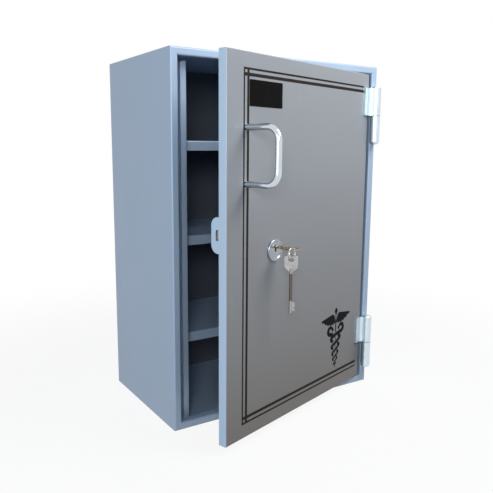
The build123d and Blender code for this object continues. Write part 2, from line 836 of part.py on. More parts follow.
# Spare key, hung on the lowest part of the ring and turned a little on it
wire_y = ring_y - ring_radius
spare_hole_y = wire_y + ring_wire / 2 + ring_hang_gap - bow_hole_length / 2
spare_tip_y = spare_hole_y + bow_hole_inset - key_length
quarters_down = (270 - ring_open_angle) / 90
spare_z = hole_height + ring_pitch * (quarters_down - ring_quarters / 4) / 4
twist = radians(spare_twist)
across = -(door_plane.x_dir * sin(twist) + door_plane.z_dir * cos(twist))
spare_key = key_blank(
    Plane(
        origin=door_plane.from_local_coords((ring_x, spare_tip_y, spare_z)),
        x_dir=across,
        z_dir=across.cross(Vector(0, 0, 1)),
    )
)
finish(spare_key, "spare_key")
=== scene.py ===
import json
from math import cos, pi, radians, sin, sqrt

import bmesh
import bpy
from mathutils import Matrix, Vector


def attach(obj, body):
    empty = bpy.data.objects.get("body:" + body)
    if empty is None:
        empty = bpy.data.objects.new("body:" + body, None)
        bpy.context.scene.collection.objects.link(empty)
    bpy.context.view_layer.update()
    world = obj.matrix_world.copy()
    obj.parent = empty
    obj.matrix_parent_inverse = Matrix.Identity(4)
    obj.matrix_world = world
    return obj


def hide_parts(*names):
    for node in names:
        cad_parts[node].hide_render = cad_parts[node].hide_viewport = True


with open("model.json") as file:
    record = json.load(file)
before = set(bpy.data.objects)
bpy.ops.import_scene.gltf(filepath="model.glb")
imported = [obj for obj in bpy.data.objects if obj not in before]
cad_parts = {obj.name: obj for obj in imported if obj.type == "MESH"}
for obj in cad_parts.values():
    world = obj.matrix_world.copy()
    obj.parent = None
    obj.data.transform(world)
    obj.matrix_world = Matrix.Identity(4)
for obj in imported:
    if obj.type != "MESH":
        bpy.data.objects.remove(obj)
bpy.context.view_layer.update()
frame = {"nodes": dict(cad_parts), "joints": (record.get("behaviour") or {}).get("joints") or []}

nodes = frame["nodes"]
scene = bpy.context.scene

# ---------------------------------------------------------------------------------------------
# Carcass: sheet-steel walls with a narrow folded frame in front, welded, ground and powder
# coated in one pale blue-grey. The coat has a fine orange peel and a faint metallic mottle.

# The coat's strong blue is partly a painted reflection: cool light from the left, mirrored by the
# glossy frame, is painted into the colour
COAT_COLOUR = (0.50, 0.63, 0.80, 1)
COAT_SHADE = (0.46, 0.58, 0.74, 1)
COAT_ROUGHNESS = 0.38
COAT_METALLIC = 0.12
COAT_SPECULAR = 0.3
COAT_GLOSS = 0.12
GLOSS_ROUGHNESS = 0.2
PEEL_SCALE = 900
MOTTLE_SCALE = 14
SCUFF_SCALE = 55
SCUFF_SHARE = 0.5
SCUFF_STRETCH = (1, 1, 0.12)
SCUFF_FROM, SCUFF_TO = 0.62, 0.78
SCUFF_LIFT = 1.15
PEEL_HEIGHT = 0.00002
PEEL_STRENGTH = 0.25
NOISE_LOW, NOISE_HIGH = 0.3, 0.7
COAT_SMOOTHER, COAT_ROUGHER = 0.04, 0.05


def group_socket(group, name, direction, value=None):
    """Adds an input or output to a node group."""
    socket = group.interface.new_socket(
        name=name, in_out=direction, socket_type="NodeSocketFloat"
    )
    if value is not None:
        socket.default_value = value


def coat_group():
    """Orange peel, mottle and faint scuffs over Object coordinates."""
    group = bpy.data.node_groups.new("powder_coat", "ShaderNodeTree")
    group_socket(group, "Peel Scale", "INPUT", value=PEEL_SCALE)
    group_socket(group, "Mottle Scale", "INPUT", value=MOTTLE_SCALE)
    group_socket(group, "Peel", "OUTPUT")
    group_socket(group, "Mottle", "OUTPUT")
    group_socket(group, "Scuff", "OUTPUT")
    tree = group.nodes
    link = group.links.new
    entry = tree.new("NodeGroupInput")
    leave = tree.new("NodeGroupOutput")
    place = tree.new("ShaderNodeTexCoord")
    peel = tree.new("ShaderNodeTexNoise")
    peel.inputs["Detail"].default_value = 2
    mottle = tree.new("ShaderNodeTexNoise")
    mottle.inputs["Detail"].default_value = 5
    stretch = tree.new("ShaderNodeMapping")
    stretch.inputs["Scale"].default_value = SCUFF_STRETCH
    scuff = tree.new("ShaderNodeTexNoise")
    scuff.inputs["Scale"].default_value = SCUFF_SCALE
    scuff.inputs["Detail"].default_value = 6
    scuff.inputs["Roughness"].default_value = 0.7
    pick = tree.new("ShaderNodeMapRange")
    pick.inputs["From Min"].default_value = SCUFF_FROM
    pick.inputs["From Max"].default_value = SCUFF_TO
    link(place.outputs["Object"], peel.inputs["Vector"])
    link(place.outputs["Object"], mottle.inputs["Vector"])
    link(place.outputs["Object"], stretch.inputs["Vector"])
    link(stretch.outputs["Vector"], scuff.inputs["Vector"])
    link(entry.outputs["Peel Scale"], peel.inputs["Scale"])
    link(entry.outputs["Mottle Scale"], mottle.inputs["Scale"])
    link(scuff.outputs["Fac"], pick.inputs["Value"])
    link(peel.outputs["Fac"], leave.inputs["Peel"])
    link(mottle.outputs["Fac"], leave.inputs["Mottle"])
    link(pick.outputs["Result"], leave.inputs["Scuff"])
    return group


def blend_colours(tree, factor, low, high):
    """A colour between two, by a mask."""
    mix = tree.nodes.new("ShaderNodeMix")
    mix.data_type = "RGBA"
    mix.inputs["A"].default_value = low
    mix.inputs["B"].default_value = high
    tree.links.new(factor, mix.inputs["Factor"])
    return mix.outputs["Result"]


def spread(tree, factor, low, high):
    """A value between two, by a noise."""
    span = tree.nodes.new("ShaderNodeMapRange")
    span.inputs["From Min"].default_value = NOISE_LOW
    span.inputs["From Max"].default_value = NOISE_HIGH
    span.inputs["To Min"].default_value = low
    span.inputs["To Max"].default_value = high
    tree.links.new(factor, span.inputs["Value"])
    return span.outputs["Result"]


def start_finish(name, group):
    """A new material with a node group in it."""
    material = bpy.data.materials.new(name)
    material.use_nodes = True
    tree = material.node_tree
    texture = tree.nodes.new("ShaderNodeGroup")
    texture.node_tree = group
    return material, tree, tree.nodes["Principled BSDF"], texture


def add_bump(tree, shader, height, strength, distance):
    """Turns a height into relief on a finish."""
    bump = tree.nodes.new("ShaderNodeBump")
    bump.inputs["Strength"].default_value = strength
    bump.inputs["Distance"].default_value = distance
    tree.links.new(height, bump.inputs["Height"])
    tree.links.new(bump.outputs["Normal"], shader.inputs["Normal"])


powder_coat = coat_group()


def coat(name, colour, shade, roughness, metallic):
    """A powder-coated finish."""
    material, tree, shader, texture = start_finish(name, powder_coat)
    texture.inputs["Peel Scale"].default_value = PEEL_SCALE
    texture.inputs["Mottle Scale"].default_value = MOTTLE_SCALE
    tint = blend_colours(tree, texture.outputs["Mottle"], shade, colour)
    rubbed = tree.nodes.new("ShaderNodeMix")
    rubbed.data_type = "RGBA"
    rubbed.inputs["B"].default_value = tuple(min(value * SCUFF_LIFT, 1) for value in colour)
    faint = spread(tree, texture.outputs["Scuff"], 0, SCUFF_SHARE)
    tree.links.new(faint, rubbed.inputs["Factor"])
    tree.links.new(tint, rubbed.inputs["A"])
    tree.links.new(rubbed.outputs["Result"], shader.inputs["Base Color"])
    low, high = roughness - COAT_SMOOTHER, roughness + COAT_ROUGHER
    rough = spread(tree, texture.outputs["Mottle"], low, high)
    tree.links.new(rough, shader.inputs["Roughness"])
    shader.inputs["Metallic"].default_value = metallic
    shader.inputs["Specular IOR Level"].default_value = COAT_SPECULAR
    shader.inputs["Coat Weight"].default_value = COAT_GLOSS
    shader.inputs["Coat Roughness"].default_value = GLOSS_ROUGHNESS
    add_bump(tree, shader, texture.outputs["Peel"], PEEL_STRENGTH, PEEL_HEIGHT)
    return material


def tint_along(material, direction, stops, colour):
    """Recolours a finish along a direction; each stop is a place and the new colour's share."""
    tree = material.node_tree
    shader = tree.nodes["Principled BSDF"]
    plain = shader.inputs["Base Color"].links[0].from_socket
    place = tree.nodes.new("ShaderNodeTexCoord")
    along = tree.nodes.new("ShaderNodeVectorMath")
    along.operation = "DOT_PRODUCT"
    along.inputs[1].default_value = direction
    span = tree.nodes.new("ShaderNodeMapRange")
    low, high = stops[0][0], stops[-1][0]
    span.inputs["From Min"].default_value = low
    span.inputs["From Max"].default_value = high
    ramp = tree.nodes.new("ShaderNodeValToRGB")
    marks = ramp.color_ramp.elements
    for stop, _ in stops[1:-1]:
        marks.new((stop - low) / (high - low))
    for mark, (_, share) in zip(marks, stops):
        mark.color = (share, share, share, 1)
    mix = tree.nodes.new("ShaderNodeMix")
    mix.data_type = "RGBA"
    mix.inputs["B"].default_value = colour
    tree.links.new(place.outputs["Object"], along.inputs[0])
    tree.links.new(along.outputs["Value"], span.inputs["Value"])
    tree.links.new(span.outputs["Result"], ramp.inputs["Fac"])
    tree.links.new(ramp.outputs["Color"], mix.inputs["Factor"])
    tree.links.new(plain, mix.inputs["A"])
    tree.links.new(mix.outputs["Result"], shader.inputs["Base Color"])


def dress(material, *names):
    """Gives CAD nodes a finish."""
    for name in names:
        slots = nodes[name].data.materials
        slots.clear()
        slots.append(material)


carcass_coat = coat("carcass_coat", COAT_COLOUR, COAT_SHADE, COAT_ROUGHNESS, COAT_METALLIC)
dress(carcass_coat, "left_side", "right_side", "top_panel", "bottom_panel")

# ---------------------------------------------------------------------------------------------
# Inside: the shelves and the bolt pocket are folded from the same coated steel as the walls. The
# back panel and the door's inner cover took a duller coat. The back's inner side is painted a dark
# slate: painted shade for the dark inside of the cabinet.

BACK_PAINTED_SHADE = (0.13, 0.14, 0.16, 1)
BACK_PAINTED_SHADE_DARK = (0.10, 0.11, 0.13, 1)
COVER_COLOUR = (0.27, 0.285, 0.31, 1)
COVER_SHADE = (0.23, 0.245, 0.27, 1)
DULL_ROUGHNESS = 0.5

dress(carcass_coat, "upper_shelf", "middle_shelf", "lower_shelf", "bolt_pocket")

# The back panel's outer side is coated like the walls
BACK_SKIN = 0.1250
SKIN_BLEND = 0.0003
back_shade_coat = coat("back_shade_coat", BACK_PAINTED_SHADE, BACK_PAINTED_SHADE_DARK, DULL_ROUGHNESS, 0)
skin_stops = ((BACK_SKIN - SKIN_BLEND, 0), (BACK_SKIN, 1))
tint_along(back_shade_coat, (0, 1, 0), skin_stops, COAT_SHADE)
dress(back_shade_coat, "back_panel")

# ---------------------------------------------------------------------------------------------
# Hinges: bullet hinges of turned steel, zinc plated bright, welded to the stile and the door. The
# pins are bare steel. The thin washers between the halves are brass, darkened past their tarnish:
# painted shade in the gap between the halves.

STREAK_SCALE = 400
STREAK_HEIGHT = 0.000004
STREAK_STRETCH = (1, 1, 8)
STREAK_STRENGTH = 0.3
CLOUD_SCALE = 70
METAL_SMOOTHER, METAL_ROUGHER = 0.8, 1.25


def brushed_group():
    """Fine streaks and soft clouds for plated metal, over Object coordinates."""
    group = bpy.data.node_groups.new("plated_metal", "ShaderNodeTree")
    group_socket(group, "Streak Scale", "INPUT", value=STREAK_SCALE)
    group_socket(group, "Streaks", "OUTPUT")
    group_socket(group, "Clouds", "OUTPUT")
    tree = group.nodes
    link = group.links.new
    entry = tree.new("NodeGroupInput")
    leave = tree.new("NodeGroupOutput")
    place = tree.new("ShaderNodeTexCoord")
    stretch = tree.new("ShaderNodeMapping")
    stretch.inputs["Scale"].default_value = STREAK_STRETCH
    streak = tree.new("ShaderNodeTexNoise")
    streak.inputs["Detail"].default_value = 4
    cloud = tree.new("ShaderNodeTexNoise")
    cloud.inputs["Scale"].default_value = CLOUD_SCALE
    cloud.inputs["Detail"].default_value = 4
    link(place.outputs["Object"], stretch.inputs["Vector"])
    link(stretch.outputs["Vector"], streak.inputs["Vector"])
    link(place.outputs["Object"], cloud.inputs["Vector"])
    link(entry.outputs["Streak Scale"], streak.inputs["Scale"])
    link(streak.outputs["Fac"], leave.inputs["Streaks"])
    link(cloud.outputs["Fac"], leave.inputs["Clouds"])
    return group


plated_metal = brushed_group()


def plate(
    name, colour, shade, roughness, streak_scale=STREAK_SCALE, streak_height=STREAK_HEIGHT
):
    """A plated or polished metal finish."""
    material, tree, shader, texture = start_finish(name, plated_metal)
    shader.inputs["Metallic"].default_value = 1
    texture.inputs["Streak Scale"].default_value = streak_scale
    tint = blend_colours(tree, texture.outputs["Clouds"], shade, colour)
    tree.links.new(tint, shader.inputs["Base Color"])
    low, high = roughness * METAL_SMOOTHER, roughness * METAL_ROUGHER
    rough = spread(tree, texture.outputs["Clouds"], low, high)
    tree.links.new(rough, shader.inputs["Roughness"])
    add_bump(tree, shader, texture.outputs["Streaks"], STREAK_STRENGTH, streak_height)
    return material


bright_zinc = plate(
    "bright_zinc",
    (0.69, 0.77, 0.82, 1),
    (0.60, 0.70, 0.77, 1),
    0.36,
    streak_scale=250,
    streak_height=0.000001,
)
bare_steel = plate("bare_steel", (0.50, 0.51, 0.52, 1), (0.40, 0.41, 0.42, 1), 0.28)
yellow_zinc = plate("yellow_zinc", (0.80, 0.66, 0.36, 1), (0.70, 0.60, 0.38, 1), 0.28)
dull_shaded_brass = plate("dull_shaded_brass", (0.17, 0.14, 0.085, 1), (0.11, 0.095, 0.065, 1), 0.45)
dress(
    bright_zinc,
    "upper_hinge_frame_half",
    "lower_hinge_frame_half",
    "upper_hinge_door_half",
    "lower_hinge_door_half",
)
dress(bare_steel, "upper_hinge_pin", "lower_hinge_pin")
dress(dull_shaded_brass, "hinge_washers")

# ---------------------------------------------------------------------------------------------
# Door: a folded steel pan with an inner cover screwed on from behind. Its coat is the carcass's
# paint in a neutral grey, darker and a shade warmer than the carcass: painted shade on a face
# turned away from the cool light.

DOOR_COLOUR = (0.40, 0.418, 0.448, 1)
DOOR_SHADE = (0.362, 0.378, 0.408, 1)
DOOR_EDGE_REFLECTION = (0.66, 0.82, 1.0, 1)
DOOR_METALLIC = 0.04
EDGE_BLEND = (0.0002, 0.0009)

# Places on the door are measured from its hinge: along the face, up, and out of the face
swing = next(joint for joint in frame["joints"] if joint["name"] == "door_swing")
open_angle = -radians(swing["range_deg"][0])
hinge = Vector(swing["pos_m"])
door_matrix = Matrix(
    (
        (cos(open_angle), 0, sin(open_angle), hinge.x),
        (sin(open_angle), 0, -cos(open_angle), hinge.y),
        (0, 1, 0, 0),
        (0, 0, 0, 1),
    )
)
door_left, door_face, door_back = -0.3913, -0.0122, -0.0279

door_coat = coat("door_coat", DOOR_COLOUR, DOOR_SHADE, COAT_ROUGHNESS, DOOR_METALLIC)

# The face is painted darker and warmer towards its foot: painted shade, where less light reaches
# the low door
FOOT_SHADE_COLOUR = (0.250, 0.229, 0.206, 1)
FOOT_SHADE_STOPS = ((0, 1), (0.15, 0.49), (0.42, 0))
tint_along(door_coat, (0, 0, 1), FOOT_SHADE_STOPS, FOOT_SHADE_COLOUR)

# The free edge and its lug are painted pale blue: a painted reflection of cool light from the
# left, on the same coat as the face
door_way = door_matrix.col[0].to_3d()
edge_place = hinge.dot(door_way) + door_left
edge_reflection_stops = ((edge_place + EDGE_BLEND[0], 1), (edge_place + EDGE_BLEND[1], 0))
tint_along(door_coat, door_way, edge_reflection_stops, DOOR_EDGE_REFLECTION)
dress(door_coat, "door_pan")
dress(coat("cover_coat", COVER_COLOUR, COVER_SHADE, DULL_ROUGHNESS, 0), "door_cover")
screw_zinc = plate("screw_zinc", (0.70, 0.71, 0.73, 1), (0.58, 0.59, 0.62, 1), 0.3)


def add_piece(name, mesh, material, body, matrix=None):
    """Makes a mesh a finished piece that rides on a body; the matrix puts it in its place."""
    if matrix is not None:
        bmesh.ops.transform(mesh, matrix=matrix, verts=mesh.verts)
    bmesh.ops.recalc_face_normals(mesh, faces=mesh.faces)
    data = bpy.data.meshes.new(name)
    mesh.to_mesh(data)
    mesh.free()
    data.materials.append(material)
    piece = bpy.data.objects.new(name, data)
    scene.collection.objects.link(piece)
    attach(piece, body)
    return piece


def block(mesh, low, high):
    """A block between two corners."""
    low, high = Vector(low), Vector(high)
    size = Matrix.Diagonal(high - low).to_4x4()
    place = Matrix.Translation((low + high) / 2)
    bmesh.ops.create_cube(mesh, size=1, matrix=place @ size)


# ---------------------------------------------------------------------------------------------
# Pinstripes: two painted lines run round the door's face, a thin one outside a thick one. They
# cross at the free corners and run out under the hinges.

STRIPE_HEIGHT = 0.00005
THIN_LINE = 0.0030
THICK_LINE = 0.0048
OUTER_UPRIGHT, INNER_UPRIGHT = -0.3547, -0.3461
OUTER_TOP, INNER_TOP = 0.5628, 0.5550
OUTER_BOTTOM, INNER_BOTTOM = 0.0380, 0.0465
TOP_LINE_END, BOTTOM_LINE_END = -0.0244, -0.0197
PAINT_SPECULAR = 0.03
PAINT_GRAIN = 1400
PAINT_SCALE = 260
PAINT_FADE = 1.5
PAINT_DUST = 0.002
PAINT_ROUGHER = 0.12


def paint_mark(name, colour, roughness, fade=PAINT_FADE, scale=PAINT_SCALE):
    """A thin coat of dark paint, a little worn and uneven."""
    material, tree, shader, texture = start_finish(name, powder_coat)
    texture.inputs["Peel Scale"].default_value = PAINT_GRAIN
    texture.inputs["Mottle Scale"].default_value = scale
    shader.inputs["Specular IOR Level"].default_value = PAINT_SPECULAR
    faded = tuple(value * fade + PAINT_DUST for value in colour[:3]) + (1,)
    tint = blend_colours(tree, texture.outputs["Mottle"], colour, faded)
    tree.links.new(tint, shader.inputs["Base Color"])
    rough = spread(tree, texture.outputs["Mottle"], roughness, roughness + PAINT_ROUGHER)
    tree.links.new(rough, shader.inputs["Roughness"])
    return material


stripe_paint = paint_mark("stripe_paint", (0.030, 0.025, 0.021, 1), 0.45)
stripes = bmesh.new()
for upright, width in ((OUTER_UPRIGHT, THIN_LINE), (INNER_UPRIGHT, THICK_LINE)):
    block(
        stripes,
        (upright - width / 2, OUTER_BOTTOM - THIN_LINE / 2, door_face),
        (upright + width / 2, OUTER_TOP + THIN_LINE / 2, door_face + STRIPE_HEIGHT),
    )
breaks = (
    OUTER_UPRIGHT + THIN_LINE / 2,
    INNER_UPRIGHT - THICK_LINE / 2,
    INNER_UPRIGHT + THICK_LINE / 2,
)
for level, width, end in (
    (OUTER_TOP, THIN_LINE, TOP_LINE_END),
    (INNER_TOP, THICK_LINE, TOP_LINE_END),
    (INNER_BOTTOM, THICK_LINE, BOTTOM_LINE_END),
    (OUTER_BOTTOM, THIN_LINE, BOTTOM_LINE_END),
):
    for start, stop in ((breaks[0], breaks[1]), (breaks[2], end)):
        block(
            stripes,
            (start, level - width / 2, door_face),
            (stop, level + width / 2, door_face + STRIPE_HEIGHT),
        )
add_piece("pinstripes", stripes, stripe_paint, "door", door_matrix)

# ---------------------------------------------------------------------------------------------
# Plate: a small black enamelled plate with rounded corners, stuck on the upper free corner of
# the door inside the pinstripes, and left bare.

PLATE_LOW = (-0.3432, 0.512)
PLATE_HIGH = (-0.2670, 0.549)
PLATE_THICKNESS = 0.0006
PLATE_CORNER = 0.0016

plate_black = paint_mark("plate_black", (0.006, 0.005, 0.005, 1), 0.2, fade=1.2, scale=60)
plate_mesh = bmesh.new()
block(plate_mesh, (*PLATE_LOW, door_face), (*PLATE_HIGH, door_face + PLATE_THICKNESS))
upright_edges = [
    edge
    for edge in plate_mesh.edges
    if abs(edge.verts[0].co.z - edge.verts[1].co.z) > PLATE_THICKNESS / 2
]
bmesh.ops.bevel(
    plate_mesh,
    geom=upright_edges,
    affect="EDGES",
    offset=PLATE_CORNER,
    segments=5,
    profile=0.5,
    material=-1,
)
rim_edges = [
    edge
    for edge in plate_mesh.edges
    if min(vert.co.z for vert in edge.verts) > door_face + PLATE_THICKNESS / 2
]
bmesh.ops.bevel(
    plate_mesh,
    geom=rim_edges,
    affect="EDGES",
    offset=PLATE_THICKNESS / 2,
    segments=2,
    profile=0.5,
    material=-1,
)
add_piece("blank_plate", plate_mesh, plate_black, "door", door_matrix)

# ---------------------------------------------------------------------------------------------
# Herald's staff: the traditional winged staff with two snakes, stencilled in black near the
# door's lower corner. Strands that rise to the right pass over the others.

STAFF_MIDDLE = -0.0937
PAINT_HEIGHT = 0.00004
CROSSINGS = (0.1176, 0.102, 0.088, 0.0755, 0.066)
LOBES = (0.0155, 0.0125, 0.0098, 0.0074, 0.0040)
SNAKE_HEAD = (
    (0.0085, 0.1262),
    (0.0118, 0.1312),
    (0.0175, 0.1342),
    (0.0232, 0.1318),
    (0.0248, 0.1262),
    (0.0195, 0.1212),
)
SNAKE_TAIL = (-0.0052, 0.0605)
WING_EDGE = ((0.0020, 0.1450), (0.0052, 0.1535), (0.0100, 0.1578), (0.0478, 0.1522))
FEATHER_NOTCHES = (
    (0.0478, 0.1522),
    (0.0392, 0.1484),
    (0.0306, 0.1436),
    (0.0220, 0.1410),
    (0.0138, 0.1400),
    (0.0068, 0.1404),
    (0.0020, 0.1430),
)
FEATHER_BLUNTNESS = 0.0027
FEATHER_STOPS = ((0.25, 0.8), (0.85, 1))
LOBE_RISE = 0.0012
UNDER_GAP = 0.40
SHANK_GAP = 0.0042
LEAST_WIDTH = 0.00005
HEAD_WIDTHS = (0.0058, 0.0054, 0.0064, 0.0074, 0.0078, 0.0074)
BODY_WIDTH = 0.0070
BODY_TAPER = 0.0042
SNAKE_STEPS = 120
NEARLY_ALL = 0.9999
# Each stroke of the staff: its places from the top, its widths there and its steps
KNOB = ((0.1680, 0.1655, 0.1620, 0.1580, 0.1540), (0.0008, 0.0066, 0.0096, 0.0060, 0.0022), 20)
NECK = ((0.1540, 0.1380, 0.1222), (0.0024, 0.0034, 0.0030), 8)
POINT = ((0.0630, 0.0580, 0.0536), (0.0034, 0.0030, 0.0012), 6)
SHANK_WIDTHS = (0.0020, 0.0016)


def rounded_line(points, share):
    """A place on the smooth line through some points, and the line's direction there."""
    reach = min(share, NEARLY_ALL) * (len(points) - 1)
    step = int(reach)
    part = reach - step
    first = points[max(step - 1, 0)]
    start, end = points[step], points[step + 1]
    last = points[min(step + 2, len(points) - 1)]
    place = 0.5 * (
        2 * start
        + (end - first) * part
        + (2 * first - 5 * start + 4 * end - last) * part**2
        + (3 * start - first - 3 * end + last) * part**3
    )
    way = 0.5 * (
        (end - first)
        + 2 * (2 * first - 5 * start + 4 * end - last) * part
        + 3 * (3 * start - first - 3 * end + last) * part**2
    )
    return place, way.normalized()


def raise_paint(mesh, faces):
    """Gives flat faces the paint's height."""
    raised = bmesh.ops.extrude_face_region(mesh, geom=faces)["geom"]
    top = [vert for vert in raised if isinstance(vert, bmesh.types.BMVert)]
    bmesh.ops.translate(mesh, verts=top, vec=(0, 0, PAINT_HEIGHT))


def stroke(mesh, points, widths, steps, shares=(0, 1)):
    """A painted stroke along a smooth line, as wide as the widths from its start to its end."""
    line = [Vector((x, y, 0)) for x, y in points]
    spans = [Vector((width, 0, 0)) for width in widths]
    grid = bmesh.ops.create_grid(mesh, x_segments=1, y_segments=steps, size=0.5)
    faces = list({face for vert in grid["verts"] for face in vert.link_faces})
    for vert in grid["verts"]:
        side, along = 2 * vert.co.x, vert.co.y + 0.5
        share = shares[0] + (shares[1] - shares[0]) * along
        place, way = rounded_line(line, share)
        width = max(rounded_line(spans, share)[0].x, LEAST_WIDTH)
        across = Vector((way.y, -way.x, 0))
        vert.co = place + across * side * width / 2
    raise_paint(mesh, faces)


staff_black = paint_mark("staff_black", (0.008, 0.008, 0.011, 1), 0.45)
figure = bmesh.new()
snake = list(SNAKE_HEAD)
side = 1
for crossing, following, lobe in zip(CROSSINGS, CROSSINGS[1:], LOBES):
    snake.append((0, crossing))
    side = -side
    snake.append((side * lobe, (crossing + following) / 2 + LOBE_RISE))
snake += [(0, CROSSINGS[-1]), SNAKE_TAIL]
snake_widths = list(HEAD_WIDTHS)
body_steps = len(snake) - len(snake_widths)
snake_widths += [BODY_WIDTH - BODY_TAPER * step / body_steps for step in range(body_steps)]
last = len(snake) - 1
for mirror in (1, -1):
    outline = [(mirror * x, y) for x, y in snake]
    cuts = [0]
    for number in range(len(CROSSINGS)):
        rises_right = mirror * (-1) ** number > 0
        if not rises_right:
            middle = len(SNAKE_HEAD) + 2 * number
            cuts += [(middle - UNDER_GAP) / last, (middle + UNDER_GAP) / last]
    cuts.append(1)
    for start, stop in zip(cuts[::2], cuts[1::2]):
        steps = max(int(SNAKE_STEPS * (stop - start)), 4)
        stroke(figure, outline, snake_widths, steps, shares=(start, stop))

    # Wing: a straight leading edge, and blunt feathers that step back to the shoulder
    wing = [Vector((mirror * x, y, 0)) for x, y in WING_EDGE]
    notches = [Vector((mirror * x, y, 0)) for x, y in FEATHER_NOTCHES]
    for start, stop in zip(notches, notches[1:]):
        way = (stop - start).normalized()
        below = Vector((way.y, -way.x, 0)) * FEATHER_BLUNTNESS * -mirror
        wing += [start.lerp(stop, share) + below * drop for share, drop in FEATHER_STOPS]
        wing.append(stop)
    corners = [figure.verts.new(corner) for corner in wing]
    raise_paint(figure, [figure.faces.new(corners)])

# Staff: a leaf-shaped knob, a shank that shows between the strands, and a point
shanks = [
    ((crossing - SHANK_GAP, following + SHANK_GAP), SHANK_WIDTHS, 2)
    for crossing, following in zip(CROSSINGS, CROSSINGS[1:])
]
for heights, widths, steps in (KNOB, NECK, *shanks, POINT):
    stroke(figure, [(0, height) for height in heights], widths, steps)
figure_place = door_matrix @ Matrix.Translation((STAFF_MIDDLE, 0, door_face))
add_piece("winged_staff", figure, staff_black, "door", figure_place)

# ---------------------------------------------------------------------------------------------
# Pull handle and lock rose: a bent steel bar, polished and chromed, and a turned rose in satin
# nickel. Two screws with washers hold the handle from inside the door.

chrome = plate("chrome", (0.66, 0.71, 0.76, 1), (0.56, 0.61, 0.66, 1), 0.12)
satin_nickel = plate("satin_nickel", (0.38, 0.41, 0.445, 1), (0.30, 0.33, 0.365, 1), 0.24)
dress(chrome, "handle")
dress(satin_nickel, "lock_rose")
dress(screw_zinc, "handle_screws", "handle_washers")

# ---------------------------------------------------------------------------------------------
# Lock: a pressed case of bare steel on the door's cover, with a zinc-plated bridge that guides the
# dark steel bolt. The barrel is zinc plated and passivated yellow.

dress(bare_steel, "lock_case")
dress(screw_zinc, "bolt_guide")
bolt_steel = plate("bolt_steel", (0.30, 0.28, 0.26, 1), (0.20, 0.18, 0.16, 1), 0.34)
dress(bolt_steel, "lock_bolt")
dress(yellow_zinc, "key_barrel")

# ---------------------------------------------------------------------------------------------
# Screws on the door's inner side: pan heads with cross recesses, zinc plated. Eight hold the
# cover, four the lock case and two the bolt's bridge.

HEAD_SHARE = 0.95
RISE_SHARE = 0.55
DOME_SHARE = 0.35
HEAD_GRID = 7
ARM_HALF_WIDTH = 0.1
ARM_REACH = 0.4
CROSS_TAPER = 0.03
CROSS_DEPTH = 0.55
SHANK_SIDES = 16
TURN_STEP = 1.1
LOCK_SEAT = -0.0294
# Each kind of screw: its diameter, length and seat, and its places on the door
SCREWS = {
    "cover_screws": (
        (0.0035, 0.0062, door_back),
        [(x, y) for x in (-0.3793, -0.0185) for y in (0.084, 0.259, 0.403, 0.516)],
    ),
    "lock_case_screws": (
        (0.0040, 0.0057, LOCK_SEAT),
        [(x, y) for x in (-0.301, -0.261) for y in (0.273, 0.359)],
    ),
    "bolt_guide_screws": (
        (0.0040, 0.0057, LOCK_SEAT),
        [(-0.350, y) for y in (0.3171, 0.3449)],
    ),
}


def cross_head(mesh, diameter, length, place):
    """A screw whose domed head stands up along +z with a cross pressed into it."""
    grid = bmesh.ops.create_grid(mesh, x_segments=HEAD_GRID, y_segments=HEAD_GRID, size=1)["verts"]
    faces = list({face for vert in grid for face in vert.link_faces})
    arms = [
        face
        for face in faces
        if min(map(abs, face.calc_center_median()[:2])) < ARM_HALF_WIDTH
        and max(map(abs, face.calc_center_median()[:2])) < ARM_REACH
    ]
    radius, rise = diameter * HEAD_SHARE, diameter * RISE_SHARE
    for vert in grid:
        x, y = vert.co.x, vert.co.y
        round_x, round_y = x * sqrt(1 - y * y / 2), y * sqrt(1 - x * x / 2)
        dome = 1 - DOME_SHARE * (round_x**2 + round_y**2) ** 2
        vert.co = (round_x * radius, round_y * radius, rise * dome)
    grid_edges = {edge for vert in grid for edge in vert.link_edges}
    rim = [edge for edge in grid_edges if edge.is_boundary]
    skirt = bmesh.ops.extrude_edge_only(mesh, edges=rim)["geom"]
    foot = [vert for vert in skirt if isinstance(vert, bmesh.types.BMVert)]
    for vert in foot:
        vert.co.z = 0
    bmesh.ops.holes_fill(mesh, edges=[edge for edge in mesh.edges if edge.is_boundary])
    pressed = bmesh.ops.inset_region(
        mesh,
        faces=arms,
        thickness=radius * CROSS_TAPER,
        depth=-rise * CROSS_DEPTH,
        use_even_offset=True,
    )["faces"]
    parts = {vert for face in faces + arms + pressed for vert in face.verts} | set(foot)
    shank = bmesh.ops.create_cone(
        mesh,
        cap_ends=True,
        segments=SHANK_SIDES,
        radius1=diameter / 2,
        radius2=diameter / 2,
        depth=length,
        matrix=Matrix.Translation((0, 0, -length / 2)),
    )["verts"]
    bmesh.ops.transform(mesh, matrix=place, verts=list(parts | set(shank)))


for name, ((diameter, length, seat), places) in SCREWS.items():
    heads = bmesh.new()
    for number, (x, y) in enumerate(places):
        turned = Matrix.Rotation(pi, 4, "X") @ Matrix.Rotation(TURN_STEP * number + y, 4, "Z")
        cross_head(heads, diameter, length, Matrix.Translation((x, y, seat)) @ turned)
    screws = add_piece(name + "_heads", heads, screw_zinc, "door", door_matrix)
    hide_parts(name)

# ---------------------------------------------------------------------------------------------
# Keys: stamped and turned steel, nickel plated. The key in the lock has worn to a warmer tone,
# and the spare hangs from it on a split ring of spring wire.

warm_nickel = plate("warm_nickel", (0.52, 0.43, 0.31, 1), (0.34, 0.28, 0.20, 1), 0.24)
worn_and_shaded_nickel = plate("worn_and_shaded_nickel", (0.41, 0.40, 0.40, 1), (0.28, 0.265, 0.255, 1), 0.34)

